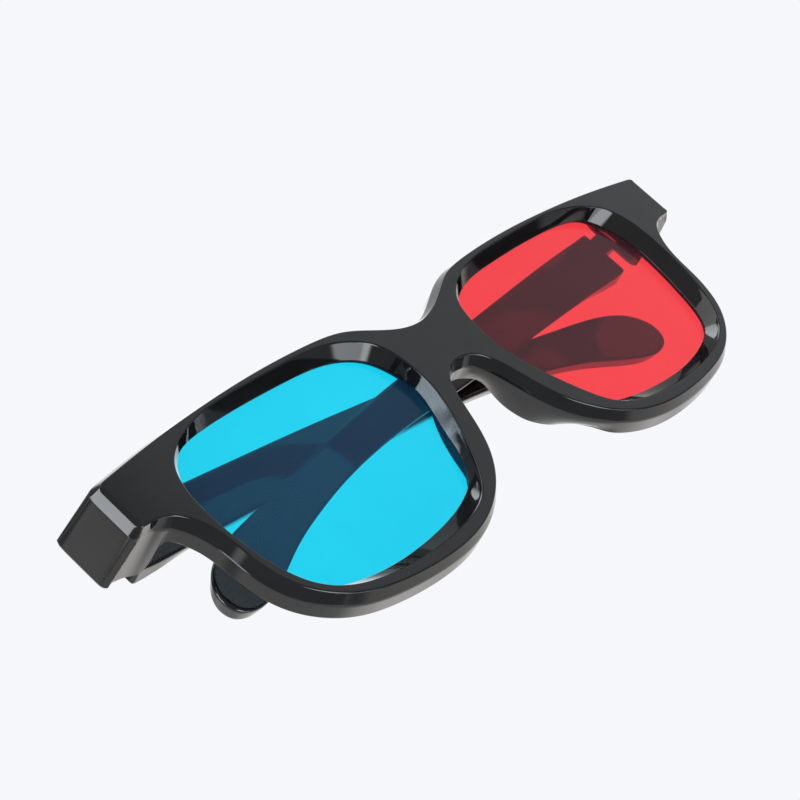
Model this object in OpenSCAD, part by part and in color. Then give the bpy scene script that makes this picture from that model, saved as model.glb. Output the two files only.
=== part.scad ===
// Folding plastic spectacles with one red and one cyan film lens.
// Millimetres. X runs across the face to the wearer's left, Y from front to back, Z up.
// The front stands upright as worn and both temples are folded behind it.

/* [Front] */
// half width of the front face, centre line to the end-piece edge
front_half = 71.5; // [69:0.5:74]
// radius of the bowed front surface, seen from above
front_radius = 1000; // [700:50:1600]
// depth of the rims from front surface to back surface
rim_depth = 5.1; // [4.7:0.1:5.8]
// how far the outer bevel spreads outwards
bevel_out = 0.95; // [0.6:0.05:1.2]
// depth of the outer bevel behind the front surface
bevel_depth = 2.2; // [1.8:0.1:2.6]
// width of the front face above the openings
brow_w = 0.8; // [0.6:0.1:1.2]
// width of the front face below the openings
sill_w = 2; // [1.6:0.1:2.6]

/* [Lens openings] */
// distance from the centre line to the nearest point of an opening
nasal_u = 8.95; // [8.5:0.05:9.5]
// width of an opening at the front surface
open_w = 52.1; // [50:0.1:52.6]
// height of an opening at the front surface
open_h = 39.5; // [38:0.1:39.8]
// level of an opening's lowest point below the hinge line
open_low = 33.7; // [33:0.1:34]
// how far the sloped wall of an opening runs in before it meets the lens
funnel_in = 1.7; // [1.2:0.1:2.2]
// depth of the lens seat behind the front surface
seat_depth = 2.9; // [2.7:0.05:3.1]

/* [Lenses] */
// thickness of the film lens
lens_t = 0.5; // [0.4:0.05:0.6]
// overlap of the lens on its seat
lens_lap = 1.1; // [0.9:0.05:1.2]
// thickness of the retaining ring behind the lens
ring_t = 0.5; // [0.4:0.05:0.7]
// clearance round the lens and its retaining ring
lens_gap = 0.06; // [0.04:0.01:0.1]

/* [Bridge and nose] */
// level of the lowest point of the top edge at the bridge
bridge_top = -0.3; // [-1:0.1:0.4]
// level of the top of the nose arch
arch_z = -9.2; // [-9.8:0.1:-8.6]
// depth of the moulded nose pads behind the front surface
pad_depth = 8.2; // [7:0.1:9]

/* [End-pieces] */
// depth of the end-pieces behind the front centre
end_depth = 15; // [14:0.1:16]
// half height of the end-pieces
end_half_h = 5.1; // [4.9:0.05:5.3]
// outward lean of the end-piece side face over its depth
end_splay = 1.95; // [1:0.05:2.5]

/* [Hinges] */
// hinge axis ahead of the end-piece back face
axis_in = 1.75; // [1.6:0.05:1.9]
// hinge pin radius
pin_r = 0.7; // [0.6:0.05:0.8]
// running clearance of the pin in the temple knuckle
pin_gap = 0.05; // [0.03:0.01:0.08]
// level of the lower and upper faces of the knuckle
knuckle_lo = -1.2; // [-1.6:0.1:-1]
knuckle_hi = 2.8; // [2.4:0.1:3]
// side play between knuckle and lugs
knuckle_gap = 0.1; // [0.06:0.02:0.16]

/* [Temples] */
// thickness of a temple
temple_t = 3.4; // [3:0.1:3.6]
// length of a temple from its butt end to its tip
temple_len = 131.2; // [126:0.2:135]
// rounding of the temple edges
temple_edge = 0.7; // [0.4:0.05:0.9]
// fold of the wearer's left temple past square, towards the lenses
fold_left = 2.5; // [2.3:0.1:2.7]
// fold of the wearer's right temple short of square
fold_right = 1.4; // [1.3:0.1:1.6]

/* [Hidden] */
$fn = 64;

far = 12;
brow_z = open_h - open_low + brow_w;
rim_low = open_low + sill_w;
rim_u = nasal_u + open_w;
side_x = front_half + bevel_out;
back_x = side_x + end_splay;
axis_y = end_depth - axis_in;
axis_x = back_x - temple_t - 2.35;
lug_r = axis_in;
face_in = back_x - temple_t;
butt_y = end_depth + 0.1;
temple_s = temple_len / 131.2;
rest_back = axis_y + (back_x - axis_x) * cos(fold_right) + (butt_y - axis_y + temple_len) * sin(fold_right);
mid_y = rest_back / 2;
base_z = rim_low + bevel_out + 0.1;

// smooth curve through a list of points
function knot(P, i) = P[min(max(i, 0), len(P) - 1)];
function ring(P, i) = P[(i + len(P)) % len(P)];
function blend(a, b, c, d, t) =
    0.5 * (2 * b + (c - a) * t + (2 * a - 5 * b + 4 * c - d) * t * t + (3 * b - a - 3 * c + d) * t * t * t);
function open_curve(P, n) = concat(
    [for (i = [0 : len(P) - 2]) for (j = [0 : n - 1])
        blend(knot(P, i - 1), P[i], P[i + 1], knot(P, i + 2), j / n)], [P[len(P) - 1]]);
function closed_curve(P, n) = [for (i = [0 : len(P) - 1]) for (j = [0 : n - 1])
    blend(ring(P, i - 1), P[i], ring(P, i + 1), ring(P, i + 2), j / n)];

// outline moved along its outward normal, for a list that runs clockwise
function edge_n(a, b) = let (v = b - a, l = norm(v)) [-v[1] / l, v[0] / l];
function grown(P, d) = [for (i = [0 : len(P) - 1])
    let (m = edge_n(ring(P, i - 1), P[i]), q = edge_n(P[i], ring(P, i + 1)), s = m + q)
    P[i] + d * s / max(0.6, s * s / 2)];

// sag of the bowed front at a distance from the centre line
function sag(u) = u * u / (2 * front_radius);

// one half of the front outline, from the bridge top out to the end-piece and back along the rim to the arch
top_half = open_curve([[0, bridge_top], [5, bridge_top + 1], [10.5, 3.4], [15, brow_z - 1.4],
    [22, brow_z - 0.45], [34, brow_z], [48, brow_z - 0.35], [60, brow_z - 1.2],
    [front_half, end_half_h - bevel_out]], 4);
low_half = open_curve([[front_half, -end_half_h + bevel_out], [rim_u + 6.45, -5.2], [rim_u + 3.35, -7.2],
    [rim_u + 1.15, -11.5], [rim_u + 0.25, -19], [rim_u - 2.25, 9.7 - rim_low], [rim_u - 7.85, 4.2 - rim_low],
    [rim_u - 15, 1.4 - rim_low], [34, -rim_low], [23.5, 1.2 - rim_low], [15.7, 5.2 - rim_low], [10.4, -24.3],
    [7.4, -16.9], [5.2, arch_z - 2.7], [2.6, arch_z - 0.5], [0, arch_z]], 4);
right_half = concat(top_half, low_half);
mirrored = [for (i = [len(right_half) - 2 : -1 : 1]) [-right_half[i][0], right_half[i][1]]];
front_outline = concat(right_half, mirrored);

// shape of a lens opening on a unit square, nasal side first and clockwise over the top
lens_shape = [[0.001, 0.633], [0.020, 0.805], [0.070, 0.894], [0.187, 0.967], [0.356, 0.994], [0.558, 1.0],
    [0.740, 0.992], [0.876, 0.942], [0.957, 0.863], [0.993, 0.732], [0.997, 0.575], [0.974, 0.359],
    [0.911, 0.170], [0.797, 0.061], [0.634, 0.010], [0.462, 0.0], [0.298, 0.025], [0.191, 0.089],
    [0.112, 0.225], [0.047, 0.395], [0.012, 0.524]];
function lens_curve(u0, w, z0, h) = closed_curve([for (p = lens_shape) [u0 + w * p[0], z0 + h * p[1]]], 4);
crest = lens_curve(nasal_u, open_w, -open_low, open_h);
seat = lens_curve(nasal_u + 0.38 * funnel_in, open_w - 1.38 * funnel_in,
    -open_low + 1.5 * funnel_in, open_h - 2.5 * funnel_in);

// end face of a long outline, cut across from its first half to its second half
function cross_cuts(n, at) = [for (i = [0 : (n - 1) / 2 - 1]) each
    i + 1 < n - 2 - i ? [[at + i, at + i + 1, at + n - 2 - i], [at + i, at + n - 2 - i, at + n - 1 - i]]
                      : [[at + i, at + i + 1, at + n - 1 - i]]];
function turned(F) = [for (f = F) [for (i = [len(f) - 1 : -1 : 0]) f[i]]];

// solid with rings of one outline at rising depths: each ring is a list of 3-D points
module rings_solid(R, cuts = false) {
    n = len(R[0]);
    k = len(R);
    polyhedron(
        points = [for (r = R) each r],
        faces = concat(
            cuts ? cross_cuts(n, 0) : [[for (i = [0 : n - 1]) i]],
            [for (j = [0 : k - 2]) for (i = [0 : n - 1])
                [j * n + i, (j + 1) * n + i, (j + 1) * n + (i + 1) % n]],
            [for (j = [0 : k - 2]) for (i = [0 : n - 1])
                [j * n + i, (j + 1) * n + (i + 1) % n, j * n + (i + 1) % n]],
            cuts ? turned(cross_cuts(n, (k - 1) * n)) : [[for (i = [n - 1 : -1 : 0]) (k - 1) * n + i]]));
}
function at_depth(P, d) = [for (p = P) [p[0], sag(p[0]) + d, p[1]]];
function at_plane(P, y) = [for (p = P) [p[0], y, p[1]]];

// space between two depths behind the bowed front
module shell(d0, d1) {
    difference() {
        translate([0, front_radius + d0, -60])
            cylinder(r = front_radius, h = 90, $fn = 360);
        translate([0, front_radius + d1, -61])
            cylinder(r = front_radius, h = 92, $fn = 360);
    }
}

module rim_blank() {
    slope = bevel_out / bevel_depth;
    intersection() {
        rings_solid([
            at_plane(grown(front_outline, -1.5 * slope), -far),
            at_depth(grown(front_outline, -1.5 * slope), -1.5),
            at_depth(grown(front_outline, bevel_out), bevel_depth),
            at_depth(grown(front_outline, bevel_out + 0.1), rim_depth + 1.5),
            at_plane(grown(front_outline, bevel_out + 0.1), 2 * far)]);
        translate([-90, -1, -60])
            cube([180, 30, 90]);
        difference() {
            translate([0, front_radius, -60])
                cylinder(r = front_radius, h = 90, $fn = 360);
            translate([0, front_radius + rim_depth, -61])
                cylinder(r = front_radius, h = 92, $fn = 360);
        }
    }
}

// sloped opening from the front face down through the lens seat
module funnel() {
    steps = [for (i = [0 : len(crest) - 1]) (seat[i] - crest[i]) / seat_depth];
    wide = [for (i = [0 : len(crest) - 1]) crest[i] - steps[i] * 1.5];
    deep = [for (i = [0 : len(crest) - 1]) seat[i] + steps[i] * 0.6];
    rings_solid([at_plane(wide, -far), at_depth(wide, -1.5), at_depth(deep, seat_depth + 0.6),
        at_plane(deep, far + 8)]);
}

module outline_block(P, y0, y1) {
    translate([0, y1, 0])
        rotate([90, 0, 0])
            linear_extrude(height = y1 - y0)
                polygon(P);
}

// end-piece of the wearer's left side with the two hinge lugs
module end_piece() {
    front_y = sag(side_x) + bevel_depth - 0.3;
    difference() {
        union() {
            translate([0, 0, -end_half_h])
                linear_extrude(height = 2 * end_half_h)
                    polygon([[side_x - 0.05, front_y], [back_x, end_depth], [axis_x, end_depth],
                        [axis_x - lug_r, axis_y], [axis_x - 2.2, axis_y - 1.8], [axis_x - 2.5, axis_y - 4.6],
                        [axis_x - 3.6, axis_y - 5.6], [axis_x - 5.6, axis_y - 6.1],
                        [axis_x - 6.2, sag(62) + 2.4], [65, sag(65) + 1.2]]);
            translate([axis_x, axis_y, -end_half_h])
                cylinder(r = lug_r, h = 2 * end_half_h);
        }
        translate([axis_x - 8, axis_y - lug_r - 0.25, knuckle_lo - knuckle_gap])
            cube([8 + face_in - axis_x + 0.6, 12, knuckle_hi - knuckle_lo + 2 * knuckle_gap]);
    }
}

// moulded pad beside the nose arch, swelling back from the rim
module nose_pad() {
    zs = [-11.3, -12.5, -15, -17.5, -20, -22.5, -25, -27.2, -29.3, -31];
    base = [3.75, 4.75, 5.95, 6.9, 7.8, 8.75, 10, 11.5, 13.3, 15.2];
    ridge = [5.5, 6.6, 7.2, 7.2, 7.9, 9.2, 11.5, 13.6, 15.4, 17];
    inner = [7.7, 8.4, 9.3, 10.3, 11.5, 12.8, 14.4, 16, 17.8, 19.4];
    deep = [0.57, 0.75, 0.91, 0.98, 1, 1, 0.96, 0.87, 0.74, 0.57];
    low = rim_depth - 1.8;
    rings_solid([for (i = [0 : len(zs) - 1])
        let (a = base[i], r = ridge[i], e = inner[i], d = pad_depth * deep[i], y = sag(r), z = zs[i])
        [[a, y + low, z], [a, y + low + 0.45 * (d - low), z], [r - 0.15, y + d - 0.9, z],
         [r + 0.35, y + d - 0.2, z], [(r + e) / 2, y + d, z], [e - 0.45, y + d - 0.35, z],
         [e, y + d - 1.1, z], [e, y + low, z]]]);
}

module half_front_add() {
    end_piece();
    nose_pad();
}

module half_front_cut() {
    funnel();
    intersection() {
        outline_block(grown(seat, lens_lap + lens_gap), 0, far + 8);
        translate([0, front_radius + seat_depth, -60])
            cylinder(r = front_radius, h = 90, $fn = 360);
    }
    translate([axis_x, axis_y, knuckle_lo - 2.9])
        cylinder(r = pin_r, h = 20, $fn = 48);
}

module front_frame() {
    color([0.09, 0.09, 0.1])
        translate([0, -mid_y, base_z])
            difference() {
                union() {
                    rim_blank();
                    half_front_add();
                    mirror([1, 0, 0]) half_front_add();
                }
                half_front_cut();
                mirror([1, 0, 0]) half_front_cut();
            }
}

module lens_plate() {
    intersection() {
        outline_block(grown(seat, lens_lap), 0, far);
        shell(seat_depth, seat_depth + lens_t);
    }
}

module lens_ring() {
    intersection() {
        difference() {
            outline_block(grown(seat, lens_lap + lens_gap / 2), 0, far);
            outline_block(grown(seat, 0.1), -1, far + 1);
        }
        shell(seat_depth + lens_t, seat_depth + lens_t + ring_t);
    }
}

module lens_left_red() {
    color([0.95, 0.1, 0.12])
        translate([0, -mid_y, base_z])
            lens_plate();
}

module lens_right_cyan() {
    color([0.05, 0.7, 0.85])
        translate([0, -mid_y, base_z])
            mirror([1, 0, 0])
                lens_plate();
}

module lens_retainer_left() {
    color([0.1, 0.1, 0.11])
        translate([0, -mid_y, base_z])
            lens_ring();
}

module lens_retainer_right() {
    color([0.1, 0.1, 0.11])
        translate([0, -mid_y, base_z])
            mirror([1, 0, 0])
                lens_ring();
}

// side outline of a temple: distance behind the butt end, and level above the hinge line
temple_outline = concat(
    open_curve([for (p = [[0, 4.75], [12, 4.2], [30, 2.7], [46, 1.2], [62, -0.45], [78, -2.3], [98, -5.5],
        [114, -8.2], [121, -9.6], [127.5, -12.2], [130.6, -15.6], [131.2, -18], [130.3, -20.6], [127.6, -22],
        [124, -21.9], [119, -20.3], [111, -16.9], [102, -14.1], [92, -11.8], [78, -9.9], [56, -8.6],
        [20, -6.7], [6, -6.0], [0, -5.0]]) [p[0] * temple_s, p[1]]], 4));

// temple of the wearer's left side, opened straight back
module temple_open() {
    e = temple_edge;
    small = grown(temple_outline, -0.8 * e);
    difference() {
        union() {
            rings_solid([
                [for (p = small) [back_x, butt_y + p[0], p[1]]],
                [for (p = temple_outline) [back_x - e, butt_y + p[0], p[1]]],
                [for (p = temple_outline) [face_in + e, butt_y + p[0], p[1]]],
                [for (p = small) [face_in, butt_y + p[0], p[1]]]], cuts = true);
            translate([0, 0, knuckle_lo])
                linear_extrude(height = knuckle_hi - knuckle_lo)
                    polygon([[axis_x + 1.2, axis_y - 0.2], [face_in + 0.9, butt_y + 0.9],
                        [face_in + 0.9, butt_y + 4.6], [axis_x - 0.6, axis_y + 1]]);
            translate([axis_x, axis_y, knuckle_lo])
                cylinder(r = lug_r, h = knuckle_hi - knuckle_lo);
        }
        translate([axis_x, axis_y, -10])
            cylinder(r = pin_r + pin_gap, h = 20, $fn = 48);
    }
}

// turn about the hinge axis from straight back to the folded rest
module folded(angle) {
    translate([axis_x, axis_y, 0])
        rotate([0, 0, angle])
            translate([-axis_x, -axis_y, 0])
                temple_open();
}

module temple_left() {
    color([0.09, 0.09, 0.1])
        translate([0, -mid_y, base_z])
            folded(90 + fold_left);
}

module temple_right() {
    color([0.09, 0.09, 0.1])
        translate([0, -mid_y, base_z])
            mirror([1, 0, 0])
                folded(90 - fold_right);
}

module pin() {
    translate([axis_x, axis_y, knuckle_lo - 2.9])
        cylinder(r = pin_r, h = end_half_h - knuckle_lo + 2.9, $fn = 48);
}

module hinge_pin_left() {
    color([0.7, 0.7, 0.72])
        translate([0, -mid_y, base_z])
            pin();
}

module hinge_pin_right() {
    color([0.7, 0.7, 0.72])
        translate([0, -mid_y, base_z])
            mirror([1, 0, 0])
                pin();
}

front_frame();
lens_left_red();
lens_right_cyan();
lens_retainer_left();
lens_retainer_right();
temple_left();
temple_right();
hinge_pin_left();
hinge_pin_right();
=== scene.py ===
# Looks of folding glasses with one red and one cyan film lens: a glossy black moulded front with
# end-pieces and nose pads, two films with their retaining rings, two temples and two hinge pins.
# Shapes are in millimetres from the front centre (y) and the hinge line (z), then set in the row frame.

import math

import bpy
import numpy as np
from mathutils import Matrix, Vector
from mathutils.geometry import delaunay_2d_cdt


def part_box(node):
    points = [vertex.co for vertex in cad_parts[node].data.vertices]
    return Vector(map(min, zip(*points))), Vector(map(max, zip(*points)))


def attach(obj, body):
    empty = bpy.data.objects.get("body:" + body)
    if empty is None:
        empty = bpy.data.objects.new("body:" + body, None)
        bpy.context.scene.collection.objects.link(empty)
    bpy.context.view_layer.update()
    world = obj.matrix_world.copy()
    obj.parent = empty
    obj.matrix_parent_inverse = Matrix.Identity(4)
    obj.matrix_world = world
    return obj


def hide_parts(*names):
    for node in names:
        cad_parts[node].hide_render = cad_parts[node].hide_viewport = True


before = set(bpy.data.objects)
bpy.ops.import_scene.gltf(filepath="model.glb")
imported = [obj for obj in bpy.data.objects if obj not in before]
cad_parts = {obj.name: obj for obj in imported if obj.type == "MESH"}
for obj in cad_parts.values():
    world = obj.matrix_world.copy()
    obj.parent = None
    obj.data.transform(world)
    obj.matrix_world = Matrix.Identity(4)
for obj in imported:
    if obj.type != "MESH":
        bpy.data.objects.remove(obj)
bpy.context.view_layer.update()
MM = 0.001
CAD_PIN_TOP = 5.1
ORIGIN = np.array([0.0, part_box("front_frame")[0].y / MM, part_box("hinge_pin_left")[1].z / MM - CAD_PIN_TOP])

# outlines of the front, one half each: x outwards, z above the hinge line
BROW = [(0, -0.3), (5, 0.7), (10.5, 3.4), (15, 5.2), (22, 6.15), (34, 6.6), (48, 6.25), (60, 5.4),
        (71.5, 4.15)]
UNDER = [(71.5, -5.2), (69.5, -5.2), (68.3, -5.3), (67, -5.65), (65.8, -6.15), (64.6, -7.2), (63.6, -8.55),
         (62.3, -11.3), (61.5, -15.5), (61.1, -19.5), (58.8, -26), (53.2, -31.5), (46, -34.3), (34, -35.7),
         (23.5, -34.5), (15.7, -30.5), (10.4, -24.3), (7.4, -16.9), (5.2, -11.9), (2.6, -9.7), (0, -9.2)]
# edge of a lens opening in the front face, and the inner edge of the film's seat behind it
CREST = [(9, -8.7), (10, -1.9), (12.6, 1.6), (18.7, 4.5), (27.5, 5.55), (38, 5.8), (47.5, 5.5), (54.6, 3.5),
         (58.8, 0.4), (60.7, -4.8), (60.9, -11), (59.7, -19.5), (56.4, -27), (50.5, -31.3), (42, -33.3),
         (33, -33.7), (24.5, -32.7), (18.9, -30.2), (14.8, -24.8), (11.4, -18.1), (9.6, -13)]
SEAT = [(9.55, -8.2), (11, -2.8), (13.6, 0.4), (18.9, 2.75), (27.5, 3.75), (38, 4.15), (46.8, 4.05),
        (53.6, 3), (56.9, 0.1), (59, -5.2), (59.3, -10.5), (58.1, -18.8), (55.2, -26.2), (49.8, -29.3),
        (42, -30.85), (33, -30.95), (24.7, -29.9), (19.2, -28.2), (15.2, -25.2), (12.2, -18), (10.4, -13)]
# nose pad by level: depth of its back, lean towards the lens, thickness of its ridge
PAD_Z = [-33, -31, -29.3, -27.2, -25, -22.5, -20, -17.5, -15, -12.5, -11, -9.2]
PAD_BACK = [5.1, 5.3, 6.0, 7.1, 7.9, 8.2, 8.2, 8.0, 7.5, 6.2, 5.3, 5.1]
PAD_LEAN = [0, 1.0, 2.4, 2.6, 1.7, 0.6, 0.5, 0.65, 1.4, 2.2, 0, 0]
PAD_RIDGE = [0.7, 0.6, 0.6, 0.7, 1.7, 2.0, 2.0, 2.0, 2.0, 2.0, 1.2, 0.7]
# inner side and rear of an end-piece seen from above: x, y
LUG = [(63.6, 6.9), (65, 7.2), (65.9, 7.75), (66.22, 8.7), (66.34, 10), (66.39, 11.25), (66.57, 12.5),
       (66.9, 13.8), (67.5, 14.8), (68.3, 15.3), (69.2, 15.4), (70.4, 15.4), (71.6, 15.4), (73.2, 15.4),
       (73.95, 15.39), (74.25, 15.29), (74.36, 15)]
# side of a temple: distance behind its butt end, z
ARM = [(0.35, 4.74), (12, 4.2), (30, 2.7), (46, 1.2), (62, -0.45), (78, -2.3), (98, -5.5), (114, -8.2),
       (121, -9.6), (127.5, -12.2), (130.6, -15.6), (131.2, -18), (130.3, -20.6), (127.6, -22), (124, -21.9),
       (119, -20.3), (111, -16.9), (102, -14.1), (92, -11.8), (78, -9.9), (56, -8.6), (20, -6.7), (6, -6.0),
       (0.35, -5.5)]

# front: radius of its bow, depth of its back face, and its bevel with the crease where the sides begin
BOW = 1000
BACK = 5.1
BEVEL_OUT, BEVEL_DEPTH = 0.95, 2.2
CREASE_OUT, CREASE_DEPTH = 0.955, 2.55
# lens pocket: depth of the seat, height of the wall behind it, width of the seat, and the chamfer behind
LIP = 2.9
POCKET = 1.05
SEAT_LAP = 1.16
REAR_CUT = 0.7
REAR_REACH = SEAT_LAP + REAR_CUT + 0.05
# film and ring: their faces behind the seat, their edges outwards from it, and the ring's rounding
FILM_NEAR, FILM_FAR, FILM_LAP = 0.01, 0.49, 1.1
LENS_MID = np.array([34.5, -13.5])
RING_NEAR, RING_FAR, RING_IN, RING_OUT, RING_ROUND = 0.51, 1.0, 0.35, 1.12, 0.12
# end-piece: its side, depth of its root, splay of its side, rise of its upper and lower edges to the rear
SIDE = 72.45
ROOT_Y = 5
SPLAY, SPLAY_RUN, SPLAY_FROM = 0.191, 4.7, 66.3
RISE_UP, RISE_LOW, RISE_RUN = 0.45, 0.1, 11
# hinge: slot in the end-piece, pin line, knuckle and tongue of the temple, pin
SLOT = ((66.39, 11.25), (71.6, 15.4))
SLOT_LOW, SLOT_TOP = -1.3, 2.9
AXIS = (68.65, 13.25)
KNUCKLE_R, KNUCKLE_LOW, KNUCKLE_TOP, KNUCKLE_BEVEL = 1.78, -1.2, 2.8, 0.15
TONGUE = [(AXIS[0] - 0.6, AXIS[1] + 1), (72, 19.7), (72, 16), (AXIS[0] + 1.2, AXIS[1] - 0.2)]
PIN_R, PIN_TOP, PIN_LOW = 0.69, 5.36, -4.08
# temple: outside face, thickness, place of its butt end, draw-in of its outside edges, and its lift past
# the hinge with a further share of that at the tip
FACE_OUT, THICK, BUTT = 74.4, 3.4, 15.1
SLIM = 1.0
LIFT, TIP_SHARE = 0.5, 0.8
FOLD_LEFT, FOLD_RIGHT = 92.5, 88.6
# zones of smooth change on the front, each from where the change starts to where it is full: rounder
# corners, fading bevel, broader brow bevel, end-piece sides, flare of the openings, sunk wall, rounder pads
CORNER_X = (69.6, 70.8)
FADE_X, FADE_TURN, FADE = (66, 70.8), (0.15, 0.75), 0.9
BROAD_X, BROAD = (44, 58), 0.15
SIDE_X, SIDE_LOW, SIDE_TOP = (70.9, 71.4), (-5.0, -4.1), (3.2, 4.0)
FLARE_Z, FLARE_END_Z, FLARE = (-18, -22), (-29.5, -32.5), 0.75
SINK_X, SINK_DEEP_X = (63.3, 63.7), (64.6, 66.6)
PAD_ROUND_Z = (-14, -20)
# zones of a temple behind its butt end: lift, lift of the tip, rounding of the edges, draw-in
LIFT_S, TIP_S, EDGE_S, SLIM_S = (4, 60), (60, 131), (0.65, 4.3), (2, 14)
# steps along a rounded edge
ARC = np.linspace(0, 1, 7)
SMALL_ARC = (0, 0.33, 0.67, 1)


def step(a, b, x):
    """Smooth step from 0 at a to 1 at b."""
    t = np.clip((x - a) / (b - a), 0, 1)
    return t * t * (3 - 2 * t)


def curve(knots, closed=False, per=24):
    """Points of a cubic spline with continuous curvature through the knots."""
    P = np.array(knots, float)
    if closed:
        P = np.vstack([P, P[:1]])
    h = np.sqrt(np.linalg.norm(np.diff(P, axis=0), axis=1))
    n = len(P)
    A, B = np.zeros((n, n)), np.zeros((n, P.shape[1]))
    for i in range(1, n - 1):
        A[i, i - 1:i + 2] = h[i - 1], 2 * (h[i - 1] + h[i]), h[i]
        B[i] = 6 * ((P[i + 1] - P[i]) / h[i] - (P[i] - P[i - 1]) / h[i - 1])
    A[0, 0] = A[-1, -1] = 1
    if closed:
        A[0, -1] = -1
        A[-1, [0, 1, -2, -1]] = 2 * h[0], h[0], h[-1], 2 * h[-1]
        B[-1] = 6 * ((P[1] - P[0]) / h[0] - (P[-1] - P[-2]) / h[-1])
    M = np.linalg.solve(A, B)
    out = []
    for i in range(n - 1):
        t = np.linspace(0, h[i], per, endpoint=False)[:, None]
        slope = (P[i + 1] - P[i]) / h[i] - h[i] * (2 * M[i] + M[i + 1]) / 6
        out.append(P[i] + slope * t + M[i] / 2 * t ** 2 + (M[i + 1] - M[i]) / (6 * h[i]) * t ** 3)
    return np.vstack(out if closed else out + [P[-1:]])


def even(P, gap, closed=True):
    """Points about a gap apart along a loop or an open line."""
    Q = np.vstack([P, P[:1]]) if closed else P
    s = np.concatenate([[0], np.cumsum(np.linalg.norm(np.diff(Q, axis=0), axis=1))])
    n = int(round(s[-1] / gap))
    t = np.linspace(0, s[-1], n, endpoint=False) if closed else np.linspace(0, s[-1], n + 1)
    return np.stack([np.interp(t, s, Q[:, k]) for k in range(Q.shape[1])], 1)


def soften(P, sigma):
    """Loop smoothed by a bell curve; sigma counts points."""
    k = np.arange(-int(4 * sigma), int(4 * sigma) + 1)
    w = np.exp(-0.5 * (k / sigma) ** 2)
    return sum(a * np.roll(P, j, 0) for a, j in zip(w / w.sum(), k))


def outward(P):
    """Outward normals of a clockwise loop."""
    t = np.roll(P, -1, 0) - np.roll(P, 1, 0)
    t /= np.linalg.norm(t, axis=1)[:, None]
    return np.stack([-t[:, 1], t[:, 0]], 1)


def bend(a, b, c, steps):
    """Rows (out, depth, and their directions) of a quadratic curve; its control points are (out, depth)."""
    rows = []
    for t in steps:
        p = [(1 - t) ** 2 * a[m] + 2 * t * (1 - t) * b[m] + t * t * c[m] for m in (0, 1)]
        q = [2 * (1 - t) * (b[m] - a[m]) + 2 * t * (c[m] - b[m]) for m in (0, 1)]
        rows.append(p + q)
    return rows


def unit(V):
    return V / np.maximum(np.linalg.norm(V, axis=-1, keepdims=True), 1e-12)


def inside(points, loop):
    """Which points lie inside a loop."""
    a, b = loop, np.roll(loop, -1, 0)
    x, z = points[:, :1], points[:, 1:]
    with np.errstate(divide="ignore", invalid="ignore"):
        cross = (a[:, 1] > z) != (b[:, 1] > z)
        at = a[:, 0] + (z - a[:, 1]) / (b[:, 1] - a[:, 1]) * (b[:, 0] - a[:, 0])
    return (cross & (x < at)).sum(1) % 2 == 1


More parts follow.
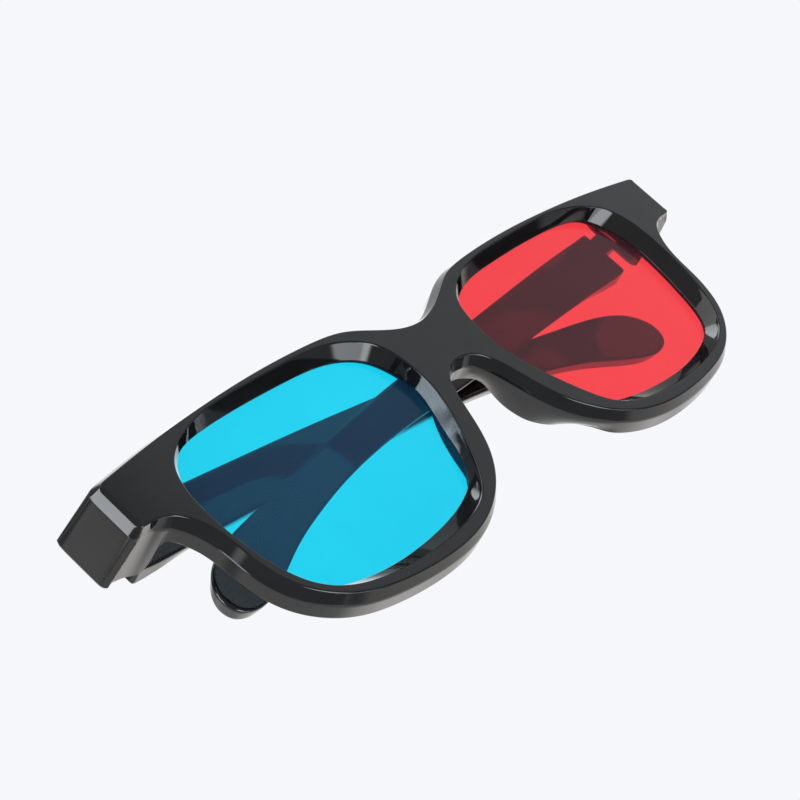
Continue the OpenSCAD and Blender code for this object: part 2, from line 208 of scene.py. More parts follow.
class Shell:
    """Strips and fills that become one mesh with the normals they were given."""

    def __init__(self):
        self.v, self.n, self.f = [], [], []

    def put(self, P, N):
        ids = np.arange(len(self.v), len(self.v) + N[..., 0].size).reshape(N.shape[:-1])
        self.v.extend(P.reshape(-1, 3))
        self.n.extend(N.reshape(-1, 3))
        return ids

    def quads(self, ids, closed=False, keep=None):
        a = ids if closed else ids[:, :-1]
        b = np.roll(ids, -1, 1) if closed else ids[:, 1:]
        q = np.stack([a[:-1], b[:-1], b[1:], a[1:]], -1)
        self.f.extend(map(tuple, q.reshape(-1, 4) if keep is None else q[keep]))

    def strip(self, P, T, first):
        """Closed strip of rows P with row directions T; first is the side that the first row faces."""
        N = unit(np.cross(T, np.roll(P, -1, 1) - np.roll(P, 1, 1)))
        if (N[0] @ np.array(first, float)).mean() < 0:
            N = -N
        ids = self.put(P, N)
        self.quads(ids, closed=True)
        return ids

    def grid(self, P, way, keep=None):
        """Open grid of points that faces the given way."""
        N = unit(np.cross(np.gradient(P, axis=0), np.gradient(P, axis=1)))
        if (N * way).sum() < 0:
            N = -N
        ids = self.put(P, N)
        self.quads(ids, keep=keep)
        return ids

    def fill(self, outer, holes=(), axes=(0, 2)):
        """Triangles between an outer loop and holes, all given as vertex numbers."""
        loops = [list(outer)] + [list(h) for h in holes]
        ids = [i for loop in loops for i in loop]
        flat = np.array([self.v[i] for i in ids])[:, list(axes)]
        edges, at = [], 0
        for loop in loops:
            n = len(loop)
            edges += [(at + i, at + (i + 1) % n) for i in range(n)]
            at += n
        got = delaunay_2d_cdt([Vector(p) for p in flat], edges, [], 0, 1e-6)
        back = []
        for p, o in zip(got[0], got[3]):
            if not o:
                near = ids[int(np.linalg.norm(flat - np.array(p), axis=1).argmin())]
                q = np.array(self.v[near], float)
                q[list(axes)] = p
                self.v.append(q)
                self.n.append(self.n[near])
            back.append(ids[o[0]] if o else len(self.v) - 1)
        tri = np.array(got[2])
        mid = np.array([tuple(p) for p in got[0]])[tri].mean(1)
        at, ok = len(loops[0]), inside(mid, flat[:len(loops[0])])
        for loop in loops[1:]:
            ok &= ~inside(mid, flat[at:at + len(loop)])
            at += len(loop)
        self.f.extend(tuple(back[i] for i in t) for t in tri[ok])

    def face(self, P, normal):
        P = np.array(P, float)
        ids = self.put(P, np.tile(np.array(normal, float), (len(P), 1)))
        self.f.append(tuple(ids))

    def add(self, other, flip=1):
        """Adds another shell's faces, mirrored to the other side of the face with flip -1."""
        at, way = len(self.v), np.array([flip, 1.0, 1.0])
        self.v.extend(np.array(other.v) * way)
        self.n.extend(np.array(other.n) * way)
        self.f.extend(tuple(i + at for i in f) for f in other.f)

    def build(self, name, angle=0, flip=1):
        """Mesh object of the shell, turned about the hinge line; flip -1 sets it on the right side."""
        c, s = math.cos(math.radians(angle)), math.sin(math.radians(angle))
        R = np.array([[c, -s, 0], [s, c, 0], [0, 0, 1]])
        hub, way = np.array([*AXIS, 0]), np.array([flip, 1, 1])
        V = ((np.array(self.v) - hub) @ R.T + hub) * way
        N = np.array(self.n) @ R.T * way
        faces = []
        for f in self.f:
            f = [int(i) for i in f]
            facing = np.cross(V[f[1]] - V[f[0]], V[f[-1]] - V[f[0]]) @ N[f].sum(0)
            faces.append(f if facing > 0 else f[::-1])
        mesh = bpy.data.meshes.new(name)
        mesh.from_pydata(((V + ORIGIN) * MM).tolist(), [], faces)
        mesh.polygons.foreach_set("use_smooth", [True] * len(mesh.polygons))
        mesh.normals_split_custom_set_from_vertices(unit(N).tolist())
        mesh.update()
        obj = bpy.data.objects.new(name, mesh)
        bpy.context.scene.collection.objects.link(obj)
        return obj


def bowed(xz, depth):
    """Points at a depth behind the bowed front surface."""
    x, z = xz[..., 0], xz[..., 1]
    return np.stack([x, x * x / (2 * BOW) + depth, z], -1)


def bowed_way(xz, step_xz, step_depth):
    """Direction on the bowed front of a step in its plane and in depth."""
    dx, dz = step_xz[..., 0], step_xz[..., 1]
    return np.stack([dx, xz[..., 0] / BOW * dx + step_depth, dz], -1)


def profile_strip(shell, loop, normal, rows):
    """Strip round a loop on the bowed front; rows give the distance out, the depth and their directions."""
    n = len(loop)
    O, D, TO, TD = [np.array([np.broadcast_to(r[k], n) for r in rows]) for k in range(4)]
    xz = loop[None] + O[..., None] * normal[None]
    return shell.strip(bowed(xz, D), bowed_way(xz, TO[..., None] * normal[None], TD), (0, -1, 0))


def upright_strip(shell, loop, normal, rows):
    """Strip round an upright piece; rows give the distance out, the level and their directions."""
    XY = np.array([loop + row[0] * normal for row in rows])
    level = np.array([row[1] for row in rows])[:, None, None]
    P = np.concatenate([XY, np.broadcast_to(level, XY.shape[:2] + (1,))], -1)
    T = np.array([np.concatenate([row[2] * normal, np.full((len(normal), 1), row[3])], 1) for row in rows])
    return shell.strip(P, T, (0, 0, 1))


def circle(count):
    a = np.linspace(0, 2 * np.pi, count, endpoint=False)
    return np.stack([np.sin(a), np.cos(a)], 1)


def front_outline():
    """Outline of the front face, softer at the ends of the end-pieces than elsewhere."""
    brow = [(-x, z) for x, z in reversed(BROW[1:])] + BROW
    under = UNDER + [(-x, z) for x, z in reversed(UNDER[:-1])]
    P = even(np.vstack([curve(brow), curve(under)]), 0.1)
    ends = step(*CORNER_X, np.abs(P[:, :1]))
    return even(soften(P, 2.4) * (1 - ends) + soften(P, 6.5) * ends, 0.3)


def opening():
    """Edge of a lens opening and inner edge of its seat, point by point."""
    return curve(CREST, True, 16), curve(SEAT, True, 16)


def opening_rows(crest, seat):
    """Rows of an opening's wall from the front face to the back face: points, depths and their directions."""
    nc, ns = outward(crest), outward(seat)
    run, z = seat - crest, crest[:, 1:]
    # the lower corners are shaded as if they flared more, so that they catch the light
    flare = FLARE * step(*FLARE_Z, z) * (1 - step(*FLARE_END_Z, z))
    slope = run - flare * nc
    wall, cut = LIP + POCKET, BACK - LIP - POCKET
    rows = [(crest + 0.3 * nc, 0, -nc, 0)]
    rows += bend((crest + 0.22 * nc, 0), (crest, 0), (crest + 0.08 * run, 0.08 * LIP), ARC)
    rows += [(crest + s * run, s * LIP, slope, LIP) for s in (0.3, 0.5, 0.7, 0.9)]
    rows += bend((crest + 0.95 * run, 0.95 * LIP), (seat, LIP), (seat + 0.14 * ns, LIP), ARC)
    rows += [(seat + SEAT_LAP * ns, LIP, ns, 0)]
    rows += [(seat + SEAT_LAP * ns, d, 0 * ns, 1) for d in (LIP + 0.02, wall)]
    for s in (0, 0.5, 0.94):
        rows.append((seat + (SEAT_LAP + s * REAR_CUT) * ns, wall + s * cut, REAR_CUT * ns, cut))
    rows += [(seat + REAR_REACH * ns, BACK, ns, 0)]
    return rows


def bevel_rows(loop, normal):
    """Rows of the front bevel, its width at each point, and each point's share in an end-piece's side."""
    u, z = np.abs(loop[:, 0]), loop[:, 1]
    # full round the rims and wider at the brow's ends, fading out under the end-pieces
    low = (z < -2) & (u > 62)
    across = step(*FADE_TURN, np.abs(normal[:, 0]))
    k = np.where(low, 1 - FADE * step(*FADE_X, u) * (1 - across), 1.0)
    k = k + np.where(z > 0, BROAD * step(*BROAD_X, u), 0)
    flat = [(-0.3, 0, 1, 0)]
    flat += bend((-0.23, 0), (0, 0), (0.091 * k, 0.211), ARC)
    flat += [(w * k, d, BEVEL_OUT * k, BEVEL_DEPTH) for w, d in ((0.3, 0.695), (0.55, 1.27))]
    flat += bend((0.81 * k, 1.876), (BEVEL_OUT * k, BEVEL_DEPTH), (CREASE_OUT * k, CREASE_DEPTH), ARC)
    # rounded edge at the sides of the end-pieces
    side = step(*SIDE_X, u) * step(*SIDE_LOW, z) * (1 - step(*SIDE_TOP, z))
    rounded = [(-0.85, 0, 1, 0)] + bend((-0.65, 0), (0, 0), (0.31, 0.75), np.linspace(0, 1, 8))
    rounded += bend((0.36, 0.88), (0.72, 1.62), (0.92, BEVEL_DEPTH), np.linspace(0, 1, 6))
    rounded += [(BEVEL_OUT, 2.33, 0.03, 0.2), (CREASE_OUT, CREASE_DEPTH, 0.01, 0.4)]
    rows = [[(1 - side) * f + side * r for f, r in zip(a, b)] for a, b in zip(flat, rounded)]
    return rows, k, side


def back_rows(loop, k, room):
    """Rows from the crease to the back face, with the nose pads; room is the distance to the lens pockets."""
    u, z = np.abs(loop[:, 0]), loop[:, 1]
    nasal = (u < 17) & (z < PAD_Z[-1])
    deep = np.where(nasal, np.interp(z, PAD_Z, PAD_BACK), BACK)
    lean = np.where(nasal, np.interp(z, PAD_Z, PAD_LEAN), 0)
    ridge = np.where(nasal, np.interp(z, PAD_Z, PAD_RIDGE), 0.7)
    deep, lean, ridge = [soften(v[:, None], 4.5)[:, 0] for v in (deep, lean, ridge)]
    # the wall sinks inside the end-pieces
    sink = (0.12 * step(*SINK_X, u) + 0.6 * step(*SINK_DEEP_X, u)) * (z > -9)
    top = k - lean - sink
    base = np.maximum(top - ridge - 0.4, 0.3 - room)
    ridge = np.maximum(top - 0.4 - base, 0.3)
    inner = top - ridge
    r = np.minimum(0.3 + 0.3 * step(*PAD_ROUND_Z, z), 0.45 * ridge)
    drop = np.clip(deep - BACK, 0, 0.6)
    halfway = (0.98 * k - 0.3 * sink, 0.5 * (deep + 1.9))
    rows = bend((CREASE_OUT * k, CREASE_DEPTH), halfway, (top, deep - r), (0.2, 0.4, 0.6, 0.8, 1))
    rows += bend((top, deep - r), (top, deep), (top - r, deep), (0.25, 0.5, 0.75, 1))
    rows += bend((inner + r, deep), (inner, deep), (inner - 0.01, deep - drop), (0, 0.25, 0.5, 0.75, 1))
    rows += [(base, BACK, -0.4, BACK - deep + drop - 1e-3)]
    return rows


def make_front():
    shell = Shell()
    loop = front_outline()
    normal = outward(loop)
    crest, seat = opening()
    rear = seat + REAR_REACH * outward(seat)
    both = np.vstack([rear, rear * [-1, 1]])
    room = np.array([np.linalg.norm(both - p, axis=1).min() for p in loop])
    rows, k, side = bevel_rows(loop, normal)
    ids = profile_strip(shell, loop, normal, rows + back_rows(loop, k, room))

    holes = []
    wall = opening_rows(crest, seat)
    for flip in (1, -1):
        way = np.array([flip, 1])
        P = np.array([bowed(p * way, d) for p, d, _, _ in wall])
        T = np.array([bowed_way(p * way, q * way, s) for p, _, q, s in wall])
        holes.append(shell.strip(P, T, (0, -1, 0)))
    shell.fill(ids[0], [h[0] for h in holes])
    shell.fill(ids[-1], [h[-1] for h in holes])

    crease = loop + (CREASE_OUT * ((1 - side) * k + side))[:, None] * normal
    block = make_end_block(crease)
    shell.add(block)
    shell.add(block, -1)
    return shell


def slot_faces(shell, plan):
    """Faces inside the hinge slot, whose open side follows the plan."""
    (x0, y0), (x1, y1) = SLOT
    z0, z1 = SLOT_LOW, SLOT_TOP
    for level, way in ((z1, -1), (z0, 1)):
        shell.face([(*p, level) for p in plan] + [(x1, y0, level)], (0, 0, way))
    shell.face([(x0, y0, z0), (x1, y0, z0), (x1, y0, z1), (x0, y0, z1)], (0, 1, 0))
    shell.face([(x1, y0, z0), (x1, y1, z0), (x1, y1, z1), (x1, y0, z1)], (-1, 0, 0))


def make_end_block(crease):
    """End-piece behind the front face: upper, side and lower faces, and an inner wall with the hinge slot."""
    shell = Shell()
    path = even(curve(LUG), 0.3, False)
    slot_a, slot_b = [int(np.hypot(*(path - corner).T).argmin()) for corner in SLOT]
    path[slot_a], path[slot_b] = SLOT
    t = unit(np.gradient(path, axis=0))
    m = np.stack([-t[:, 1], t[:, 0]], 1)

    # rounded side of the crease, from its upper to its lower corner
    right = crease[crease[:, 0] > 0]
    edge = right[right[:, 0] > SIDE - 0.7]
    edge = edge[np.argsort(-edge[:, 1])]
    inset = SIDE - edge[:, 0]
    inset -= inset.min()

    # where the upper and lower faces start on the crease, for each point of the path
    ends = path - inset[0] * m
    spread = SPLAY * (ends[:, 1] - ROOT_Y) / SPLAY_RUN
    start = np.where(ends[:, 0] > SPLAY_FROM, (ends[:, 0] + SPLAY_FROM * spread) / (1 + spread), ends[:, 0])
    high, deep = np.minimum(start, edge[0, 0]), np.minimum(start, edge[-1, 0])
    upper = right[(right[:, 1] > 0) & (right[:, 0] > 58)]
    lower = right[(right[:, 1] < 0) & (right[:, 0] > 62.3) & (right[:, 1] > -13)]
    upper, lower = upper[np.argsort(upper[:, 0])], lower[np.argsort(lower[:, 0])]
    z_up, z_low = np.interp(high, upper[:, 0], upper[:, 1]), np.interp(deep, lower[:, 0], lower[:, 1])
    rise = (path[:, 1] - ROOT_Y) / RISE_RUN

    # wall rows follow the crease's side, stretched to the local height; two rows lie on the slot's faces
    rows_z = edge[:, 1].copy()
    cut_top, cut_low = [int(np.abs(rows_z - level).argmin()) for level in (SLOT_TOP, SLOT_LOW)]
    knots = rows_z[[-1, cut_low, cut_top, 0]]
    wall = np.zeros((len(path), len(edge), 3))
    for i in range(len(path)):
        levels = (z_low[i] + RISE_LOW * rise[i], SLOT_LOW, SLOT_TOP, z_up[i] + RISE_UP * rise[i])
        wall[i, :, :2] = path[i] - inset[:, None] * m[i]
        wall[i, :, 2] = np.interp(rows_z, knots, levels)
    keep = np.ones((len(path) - 1, len(edge) - 1), bool)
    keep[slot_a:slot_b, cut_top:cut_low] = False
    shell.grid(wall, np.concatenate([m, 0 * m[:, :1]], 1)[:, None, :], keep)
    slot_faces(shell, path[slot_a:slot_b + 1])

    # upper, side and lower faces run from just inside the crease to the wall
    s = np.concatenate([np.stack([high, z_up], 1), edge, np.stack([deep, z_low], 1)[::-1]])
    begin = bowed(s, 2.5)
    end = np.concatenate([wall[:, 0], wall[-1], wall[::-1, -1]])
    P = np.array([begin + t * (end - begin) for t in np.linspace(0, 1, 9)])
    mid = np.array([69.0, 9, 0])
    shell.grid(P, (P - mid) * [0.3, 0, 1] + [0.01, 0, 0])
    return shell


def make_lens():
    shell = Shell()
    _, seat = opening()
    rim = seat + FILM_LAP * outward(seat)
    scale = np.array([1, 0.985, 0.95, 0.9, 0.8, 0.7, 0.6, 0.5, 0.4, 0.3, 0.2, 0.1, 0.03])
    xz = LENS_MID + scale[:, None, None] * (rim - LENS_MID)[None]
    near, far = LIP + FILM_NEAR, LIP + FILM_FAR
    for depth, way in ((near, -1), (far, 1)):
        N = unit(np.stack([-way * xz[..., 0] / BOW, way + 0 * xz[..., 0], 0 * xz[..., 0]], -1))
        ids = shell.put(bowed(xz, depth), N)
        shell.quads(ids, closed=True)
        shell.f.append(tuple(ids[-1]))
    n = outward(rim)
    N = np.stack([n[:, 0], 0 * n[:, 0], n[:, 1]], 1)
    ids = shell.put(np.array([bowed(rim, near), bowed(rim, far)]), np.array([N, N]))
    shell.quads(ids, closed=True)
    return shell


def make_ring():
    shell = Shell()
    _, seat = opening()
    near, far, r = LIP + RING_NEAR, LIP + RING_FAR, RING_ROUND
    rows = [(0.7, near, -1, 0), (0.5, near, -1, 0)]
    rows += bend((RING_IN + r / 2, near), (RING_IN, near), (RING_IN, near + r / 2), (0.3, 0.7, 1))
    rows += bend((RING_IN, far - r), (RING_IN, far), (RING_IN + r, far), SMALL_ARC)
    rows += bend((RING_OUT - r, far), (RING_OUT, far), (RING_OUT, far - r), SMALL_ARC)
    rows += [(RING_OUT, near + 0.05, 0, -1), (RING_OUT - 0.04, near, -1, -1), (0.7, near, -1, 0)]
    profile_strip(shell, seat, outward(seat), rows)
    return shell


def add_knuckle(shell, plan):
    """Upright prism of the hinge with a softened outline and small bevels; the plan is seen from above."""
    low, top, b = KNUCKLE_LOW, KNUCKLE_TOP, KNUCKLE_BEVEL
    P = even(soften(even(np.array(plan, float), 0.1), 1.6), 0.16)
    rows = [(-b - 0.05, top, 1, 0)] + bend((-b, top), (0, top), (0, top - b), SMALL_ARC)
    rows += bend((0, low + b), (0, low), (-b, low), SMALL_ARC) + [(-b - 0.05, low, -1, 0)]
    ids = upright_strip(shell, P, outward(P), rows)
    shell.fill(ids[0], axes=(0, 1))
    shell.fill(ids[-1], axes=(0, 1))


def make_temple(lift):
    """Temple opened straight back, with the knuckle and tongue of its hinge; lift raises its length."""
    shell = Shell()
    P = even(soften(even(curve(ARM), 0.2), 1.7), 0.5)
    s = P[:, 0].copy()
    P[:, 1] += lift * (step(*LIFT_S, s) + TIP_SHARE * step(*TIP_S, s))
    n = outward(P)
    # rounding of the edges, small at the butt end
    e = 0.35 + 0.55 * step(*EDGE_S, s)
    rows = [(-e - 0.3, 0, 1, 0)] + bend((-e, 0), (0, 0), (0, e), ARC)
    rows += [(0, THICK / 2, 0, 1)]
    rows += bend((0, THICK - e), (0, THICK), (-e, THICK), ARC) + [(-e - 0.3, THICK, -1, 0)]
    O, H, TO, TH = [np.array([np.broadcast_to(r[k], len(P)) for r in rows], float) for k in range(4)]
    # the edges draw in towards the outside face, past the butt end
    slim = SLIM * step(*SLIM_S, s)
    O, TO = O - slim * (1 - H / THICK), TO + slim / THICK * TH
    sz = P[None] + O[..., None] * n[None]
    pts = np.stack([FACE_OUT - H, BUTT + sz[..., 0], sz[..., 1]], -1)
    way = np.stack([-TH, TO * n[:, 0], TO * n[:, 1]], -1)
    ids = shell.strip(pts, way, (1, 0, 0))
    shell.fill(ids[0], axes=(1, 2))
    shell.fill(ids[-1], axes=(1, 2))
    add_knuckle(shell, np.array(AXIS) + KNUCKLE_R * circle(60))
    add_knuckle(shell, TONGUE)
    return shell


def make_pin():
    shell = Shell()
    r, top, low = PIN_R, PIN_TOP, PIN_LOW
    rows = [(0.02, top, 1, 0), (0.35, top - 0.01, 1, -0.05)]
    rows += bend((0.5, top - 0.03), (r, top - 0.06), (r, top - 0.24), SMALL_ARC)
    rows += [(r, 2, 0, -1), (r, -2, 0, -1)]
    rows += bend((r, low + 0.18), (r, low), (0.5, low), SMALL_ARC) + [(0.02, low, -1, 0)]
    ids = upright_strip(shell, np.array(AXIS), circle(48), rows)
    shell.f += [tuple(ids[0]), tuple(ids[-1])]
    return shell


# materials

def nodes_of(name):
    mat = bpy.data.materials.new(name)
    mat.use_nodes = True
    tree = mat.node_tree
    return mat, tree, tree.nodes["Principled BSDF"]


def link(tree, a, b):
    tree.links.new(a, b)


def noise(tree, scale, detail, stretch=(1, 1, 1)):
    at = tree.nodes.new("ShaderNodeTexCoord")
    fit = tree.nodes.new("ShaderNodeMapping")
    fit.inputs["Scale"].default_value = stretch
    n = tree.nodes.new("ShaderNodeTexNoise")
    n.inputs["Scale"].default_value = scale
    n.inputs["Detail"].default_value = detail
    link(tree, at.outputs["Object"], fit.inputs["Vector"])
    link(tree, fit.outputs["Vector"], n.inputs["Vector"])
    return n.outputs["Fac"]


def ramp(tree, fac, a, b):
    """Grey levels or colours from a to b over the middle of a noise."""
    r = tree.nodes.new("ShaderNodeValToRGB")
    for stop, at, level in zip(r.color_ramp.elements, (0.3, 0.7), (a, b)):
        stop.position = at
        stop.color = (*level, 1) if isinstance(level, tuple) else (level, level, level, 1)
    link(tree, fac, r.inputs["Fac"])
    return r.outputs["Color"]


def math_node(tree, operation, *values, clamp=False):
    """Output of a math node whose inputs are sockets or numbers."""
    node = tree.nodes.new("ShaderNodeMath")
    node.operation, node.use_clamp = operation, clamp
    for socket, value in zip(node.inputs, values):
        if isinstance(value, float):
            socket.default_value = value
        else:
            link(tree, value, socket)
    return node.outputs[0]


def mirror_ray(tree):
    """One for a ray last reflected in gloss, and nought for one seen through a film."""
    ray = tree.nodes.new("ShaderNodeLightPath")
    glossy, through = ray.outputs["Is Glossy Ray"], ray.outputs["Is Transmission Ray"]
    return math_node(tree, "SUBTRACT", glossy, through, clamp=True)


def mixed(tree, fac, a, b):
    """Shader a, or b where the factor is one; the factor is a number or a socket."""
    mix = tree.nodes.new("ShaderNodeMixShader")
    if isinstance(fac, float):
        mix.inputs[0].default_value = fac
    else:
        link(tree, fac, mix.inputs[0])
    link(tree, a, mix.inputs[1])
    link(tree, b, mix.inputs[2])
    return mix.outputs[0]


def clear(tree, colour):
    shader = tree.nodes.new("ShaderNodeBsdfTransparent")
    shader.inputs["Color"].default_value = (*colour, 1)
    return shader.outputs[0]


def bumped(tree, shader, fac, height, strength):
    b = tree.nodes.new("ShaderNodeBump")
    b.inputs["Strength"].default_value = strength
    b.inputs["Distance"].default_value = height
    link(tree, fac, b.inputs["Height"])
    link(tree, b.outputs["Normal"], shader.inputs["Normal"])


def black_plastic():
    mat, tree, s = nodes_of("black_plastic")
    tone = ramp(tree, noise(tree, 260, 6), (0.0085, 0.0088, 0.0098), (0.0125, 0.0126, 0.0135))
    link(tree, tone, s.inputs["Base Color"])
    link(tree, ramp(tree, noise(tree, 900, 8), 0.035, 0.06), s.inputs["Roughness"])
    bumped(tree, s, noise(tree, 420, 3), 0.00001, 0.12)
    s.inputs["IOR"].default_value = 1.5
    return mat


def film(name, pale, full, veil, dust, mirrored):
    """Clear film coloured from pale to full, with a share of dust in the veil's colour.

    Mirrored is the tint it gives to what the gloss shows through it.
    """
    mat, tree, s = nodes_of(name)
    link(tree, ramp(tree, noise(tree, 40, 4), pale, full), s.inputs["Base Color"])
    link(tree, ramp(tree, noise(tree, 700, 6), 0.015, 0.035), s.inputs["Roughness"])
    bumped(tree, s, noise(tree, 60, 2), 0.00002, 0.1)
    s.inputs["IOR"].default_value = 1.25
    s.inputs["Transmission Weight"].default_value = 1.0
    haze = tree.nodes.new("ShaderNodeBsdfDiffuse")
    haze.inputs["Color"].default_value = (*veil, 1)
    seen = mixed(tree, dust, s.outputs[0], haze.outputs[0])
    shadow = tree.nodes.new("ShaderNodeLightPath").outputs["Is Shadow Ray"]
    seen = mixed(tree, shadow, seen, clear(tree, full))
    seen = mixed(tree, mirror_ray(tree), seen, clear(tree, mirrored))
    link(tree, seen, tree.nodes["Material Output"].inputs["Surface"])
    return mat


def pin_steel():
    mat, tree, s = nodes_of("pin_steel")
    drawn = (1, 1, 0.05)
    tone = ramp(tree, noise(tree, 500, 5), (0.52, 0.52, 0.54), (0.66, 0.66, 0.67))
    link(tree, tone, s.inputs["Base Color"])
    link(tree, ramp(tree, noise(tree, 1500, 4, drawn), 0.22, 0.36), s.inputs["Roughness"])
    bumped(tree, s, noise(tree, 1500, 2, drawn), 0.00001, 0.2)
    s.inputs["Metallic"].default_value = 1.0
    return mat


BLACK = black_plastic()
RED = film("red_film", (0.97, 0.042, 0.052), (1.0, 0.047, 0.058),
           veil=(0.47, 0.31, 0.43), dust=0.045, mirrored=(0.84, 0.8, 0.8))
CYAN = film("cyan_film", (0.004, 0.66, 0.89), (0.005, 0.72, 0.94),
            veil=(0.14, 0.27, 0.62), dust=0.05, mirrored=(0.88, 0.945, 0.985))
STEEL = pin_steel()


def place(obj, body, node, material):
    obj.data.materials.append(material)
    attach(obj, body)
    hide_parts(node)


place(make_front().build("moulded_front"), "front", "front_frame", BLACK)
lens, ring, pin = make_lens(), make_ring(), make_pin()
for tag, flip, tint, hue, fold, lift in (("left", 1, RED, "red", FOLD_LEFT, -LIFT),
                                         ("right", -1, CYAN, "cyan", FOLD_RIGHT, LIFT)):
    film_obj = lens.build("film_" + tag + "_" + hue, flip=flip)
    place(film_obj, "front", "lens_" + tag + "_" + hue, tint)
    ring_obj = ring.build("film_ring_" + tag, flip=flip)
    place(ring_obj, "front", "lens_retainer_" + tag, BLACK)
    temple_obj = make_temple(lift).build("moulded_temple_" + tag, fold, flip)
    place(temple_obj, tag + "_temple", "temple_" + tag, BLACK)
    pin_obj = pin.build("steel_pin_" + tag, flip=flip)
    place(pin_obj, "front", "hinge_pin_" + tag, STEEL)


# stage: pale floor that is open from below and to reflections, white surround, soft studio light

def make_floor(half):
    mesh = bpy.data.meshes.new("floor")
    corners = [(-half, -half, 0), (half, -half, 0), (half, half, 0), (-half, half, 0)]
    mesh.from_pydata(corners, [], [(0, 1, 2, 3)])
    obj = bpy.data.objects.new("floor", mesh)
    bpy.context.scene.collection.objects.link(obj)
    mat, tree, s = nodes_of("floor_pale")
    tone = ramp(tree, noise(tree, 3, 3), (0.86, 0.865, 0.88), (0.88, 0.885, 0.895))
    link(tree, tone, s.inputs["Base Color"])
    s.inputs["Roughness"].default_value = 0.9
    s.inputs["Specular IOR Level"].default_value = 0.1
    geo = tree.nodes.new("ShaderNodeNewGeometry")
    open_to = math_node(tree, "MAXIMUM", geo.outputs["Backfacing"], mirror_ray(tree))
    seen = mixed(tree, open_to, s.outputs[0], clear(tree, (1, 1, 1)))
    link(tree, seen, tree.nodes["Material Output"].inputs["Surface"])
    mesh.materials.append(mat)


# what the gloss shows, over a dim room: windows with centre, half size and blur as azimuth (from x towards
# y) and height in degrees, and the light that each adds
ROOM = (0.31, 0.315, 0.32)
PALE_WALLS = [((84, -26), (70, 54), (2.5, 6), (0.76, 0.74, 0.72)),
              ((42, 42), (8, 20), (3, 6), (0.72, 0.72, 0.72)),
              ((58, -38), (24, 14), (12, 12), (1.3, 1.26, 1.22)),
              ((-22, 14), (33.5, 22), (3, 12), (0.38, 0.395, 0.4))]
DARK_FLAG = [((140, 18), (9, 10), (2, 3), (-0.7, -0.68, -0.66))]
SOFTBOXES = [((160.5, 25), (5.5, 23), (1.2, 4), (5.2, 5.5, 5.8)),
             ((180, 30), (14, 20), (1.2, 4), (6.6, 7.0, 7.4)),
             ((148, 49), (9, 5), (2, 3), (3.0, 3.2, 3.4)),
             ((-129, -55), (26, 16), (2.5, 3), (6.4, 6.8, 7.2)),
             ((-92, -79.5), (70, 8.5), (5, 3), (3.6, 3.8, 4.0)),
             ((-24, 69), (30, 10), (6, 5), (4.0, 4.2, 4.4))]


def window(tree, way, centre, half, blur):
    """Mask of a soft window in the surround, in the units of the lists above."""
    a = math.radians(centre[0])
    dots = []
    for axis in ((math.cos(a), math.sin(a), 0), (-math.sin(a), math.cos(a), 0), (0, 0, 1)):
        d = tree.nodes.new("ShaderNodeVectorMath")
        d.operation = "DOT_PRODUCT"
        d.inputs[1].default_value = axis
        link(tree, way, d.inputs[0])
        dots.append(d.outputs["Value"])
    turn = math_node(tree, "ARCTAN2", dots[1], dots[0])
    rise = math_node(tree, "SUBTRACT", math_node(tree, "ARCSINE", dots[2]), math.radians(centre[1]))
    masks = []
    for angle, h, w in zip((turn, rise), half, blur):
        edge = tree.nodes.new("ShaderNodeMapRange")
        edge.interpolation_type = "SMOOTHSTEP"
        edge.inputs["From Min"].default_value = math.radians(h + w)
        edge.inputs["From Max"].default_value = math.radians(h - w)
        link(tree, math_node(tree, "ABSOLUTE", angle), edge.inputs["Value"])
        masks.append(edge.outputs["Result"])
    return math_node(tree, "MULTIPLY", *masks)


def background(tree, colour, strength=1.0):
    shader = tree.nodes.new("ShaderNodeBackground")
    shader.inputs["Color"].default_value = (*colour, 1)
    shader.inputs["Strength"].default_value = strength
    return shader


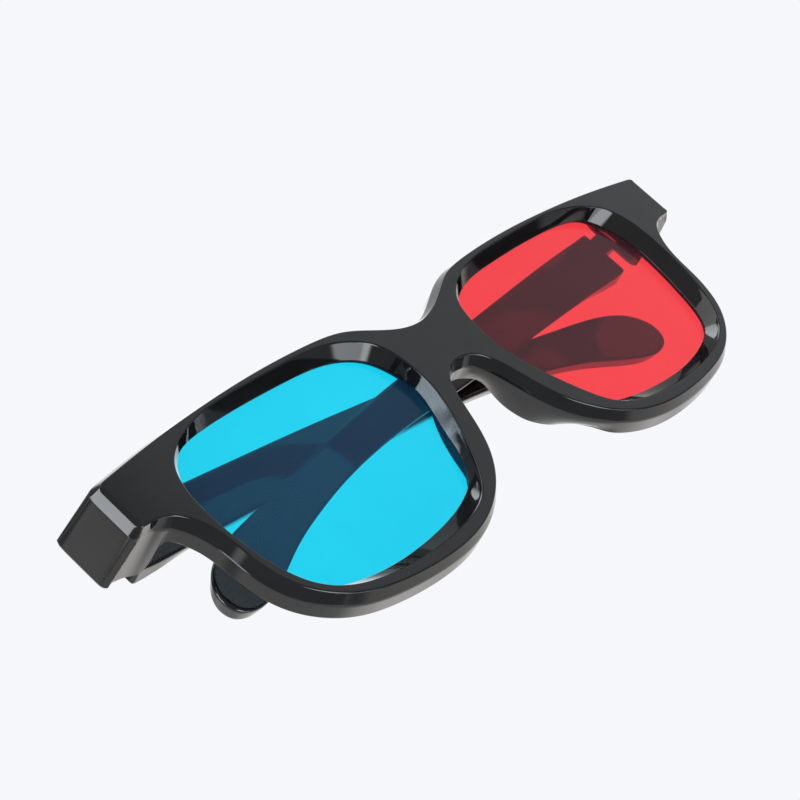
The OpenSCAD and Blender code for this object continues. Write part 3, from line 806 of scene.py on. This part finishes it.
def make_world():
    """Pale to the camera, white through the films, soft fill on the object, and the windows in its gloss."""
    world = bpy.data.worlds.new("studio")
    bpy.context.scene.world = world
    world.use_nodes = True
    tree = world.node_tree
    tree.nodes.clear()
    ray = tree.nodes.new("ShaderNodeLightPath")
    sky = background(tree, (0.922, 0.93, 0.966)).outputs[0]
    fill = background(tree, (0.98, 0.99, 1), 0.8).outputs[0]
    white = background(tree, (1, 1, 1)).outputs[0]
    seen = mixed(tree, ray.outputs["Is Camera Ray"], fill, sky)
    seen = mixed(tree, ray.outputs["Is Transmission Ray"], seen, white)

    way = tree.nodes.new("ShaderNodeTexCoord").outputs["Generated"]
    total = None
    for centre, half, blur, colour in PALE_WALLS + DARK_FLAG + SOFTBOXES:
        add = tree.nodes.new("ShaderNodeVectorMath")
        add.operation = "MULTIPLY_ADD"
        link(tree, window(tree, way, centre, half, blur), add.inputs[0])
        add.inputs[1].default_value = colour
        add.inputs[2].default_value = ROOM
        if total:
            link(tree, total, add.inputs[2])
        total = add.outputs[0]
    gloss = background(tree, ROOM)
    link(tree, total, gloss.inputs["Color"])
    seen = mixed(tree, mirror_ray(tree), seen, gloss.outputs[0])
    link(tree, seen, tree.nodes.new("ShaderNodeOutputWorld").inputs["Surface"])


def make_light(name, at, aim, size, power):
    data = bpy.data.lights.new(name, "AREA")
    data.shape = "RECTANGLE"
    data.size, data.size_y = size
    data.energy = power
    obj = bpy.data.objects.new(name, data)
    obj.location = at
    obj.rotation_mode = "QUATERNION"
    obj.rotation_quaternion = (Vector(aim) - Vector(at)).to_track_quat("-Z", "Y")
    bpy.context.scene.collection.objects.link(obj)


# camera fitted to the photo: lens and sensor, its right, down and forward axes, and its place, in millimetres
LENS_MM, SENSOR_MM = 124.9915, 36.0
RIGHT = Vector((0.603201, -0.364575, -0.709390))
DOWN = Vector((-0.370040, 0.659982, -0.653831))
AHEAD = Vector((0.706554, 0.656894, 0.263194))
SPOT = np.array([-326.703, -288.043, -125.654])


def make_camera():
    data = bpy.data.cameras.new("photo_view")
    data.lens, data.sensor_width, data.sensor_fit = LENS_MM, SENSOR_MM, "HORIZONTAL"
    data.clip_start, data.clip_end = 0.02, 20
    obj = bpy.data.objects.new("photo_view", data)
    turn = Matrix((RIGHT, -DOWN, -AHEAD)).transposed().to_4x4()
    obj.matrix_world = Matrix.Translation(Vector((SPOT + ORIGIN) * MM)) @ turn
    bpy.context.scene.collection.objects.link(obj)
    bpy.context.scene.camera = obj


make_floor(half=2)
make_world()
make_light("overhead", at=(-0.25, -0.35, 1.0), aim=(0, 0, 0.02), size=(0.8, 0.8), power=3.0)
make_camera()
bpy.context.scene.view_settings.view_transform = "Standard"

bpy.context.view_layer.update()
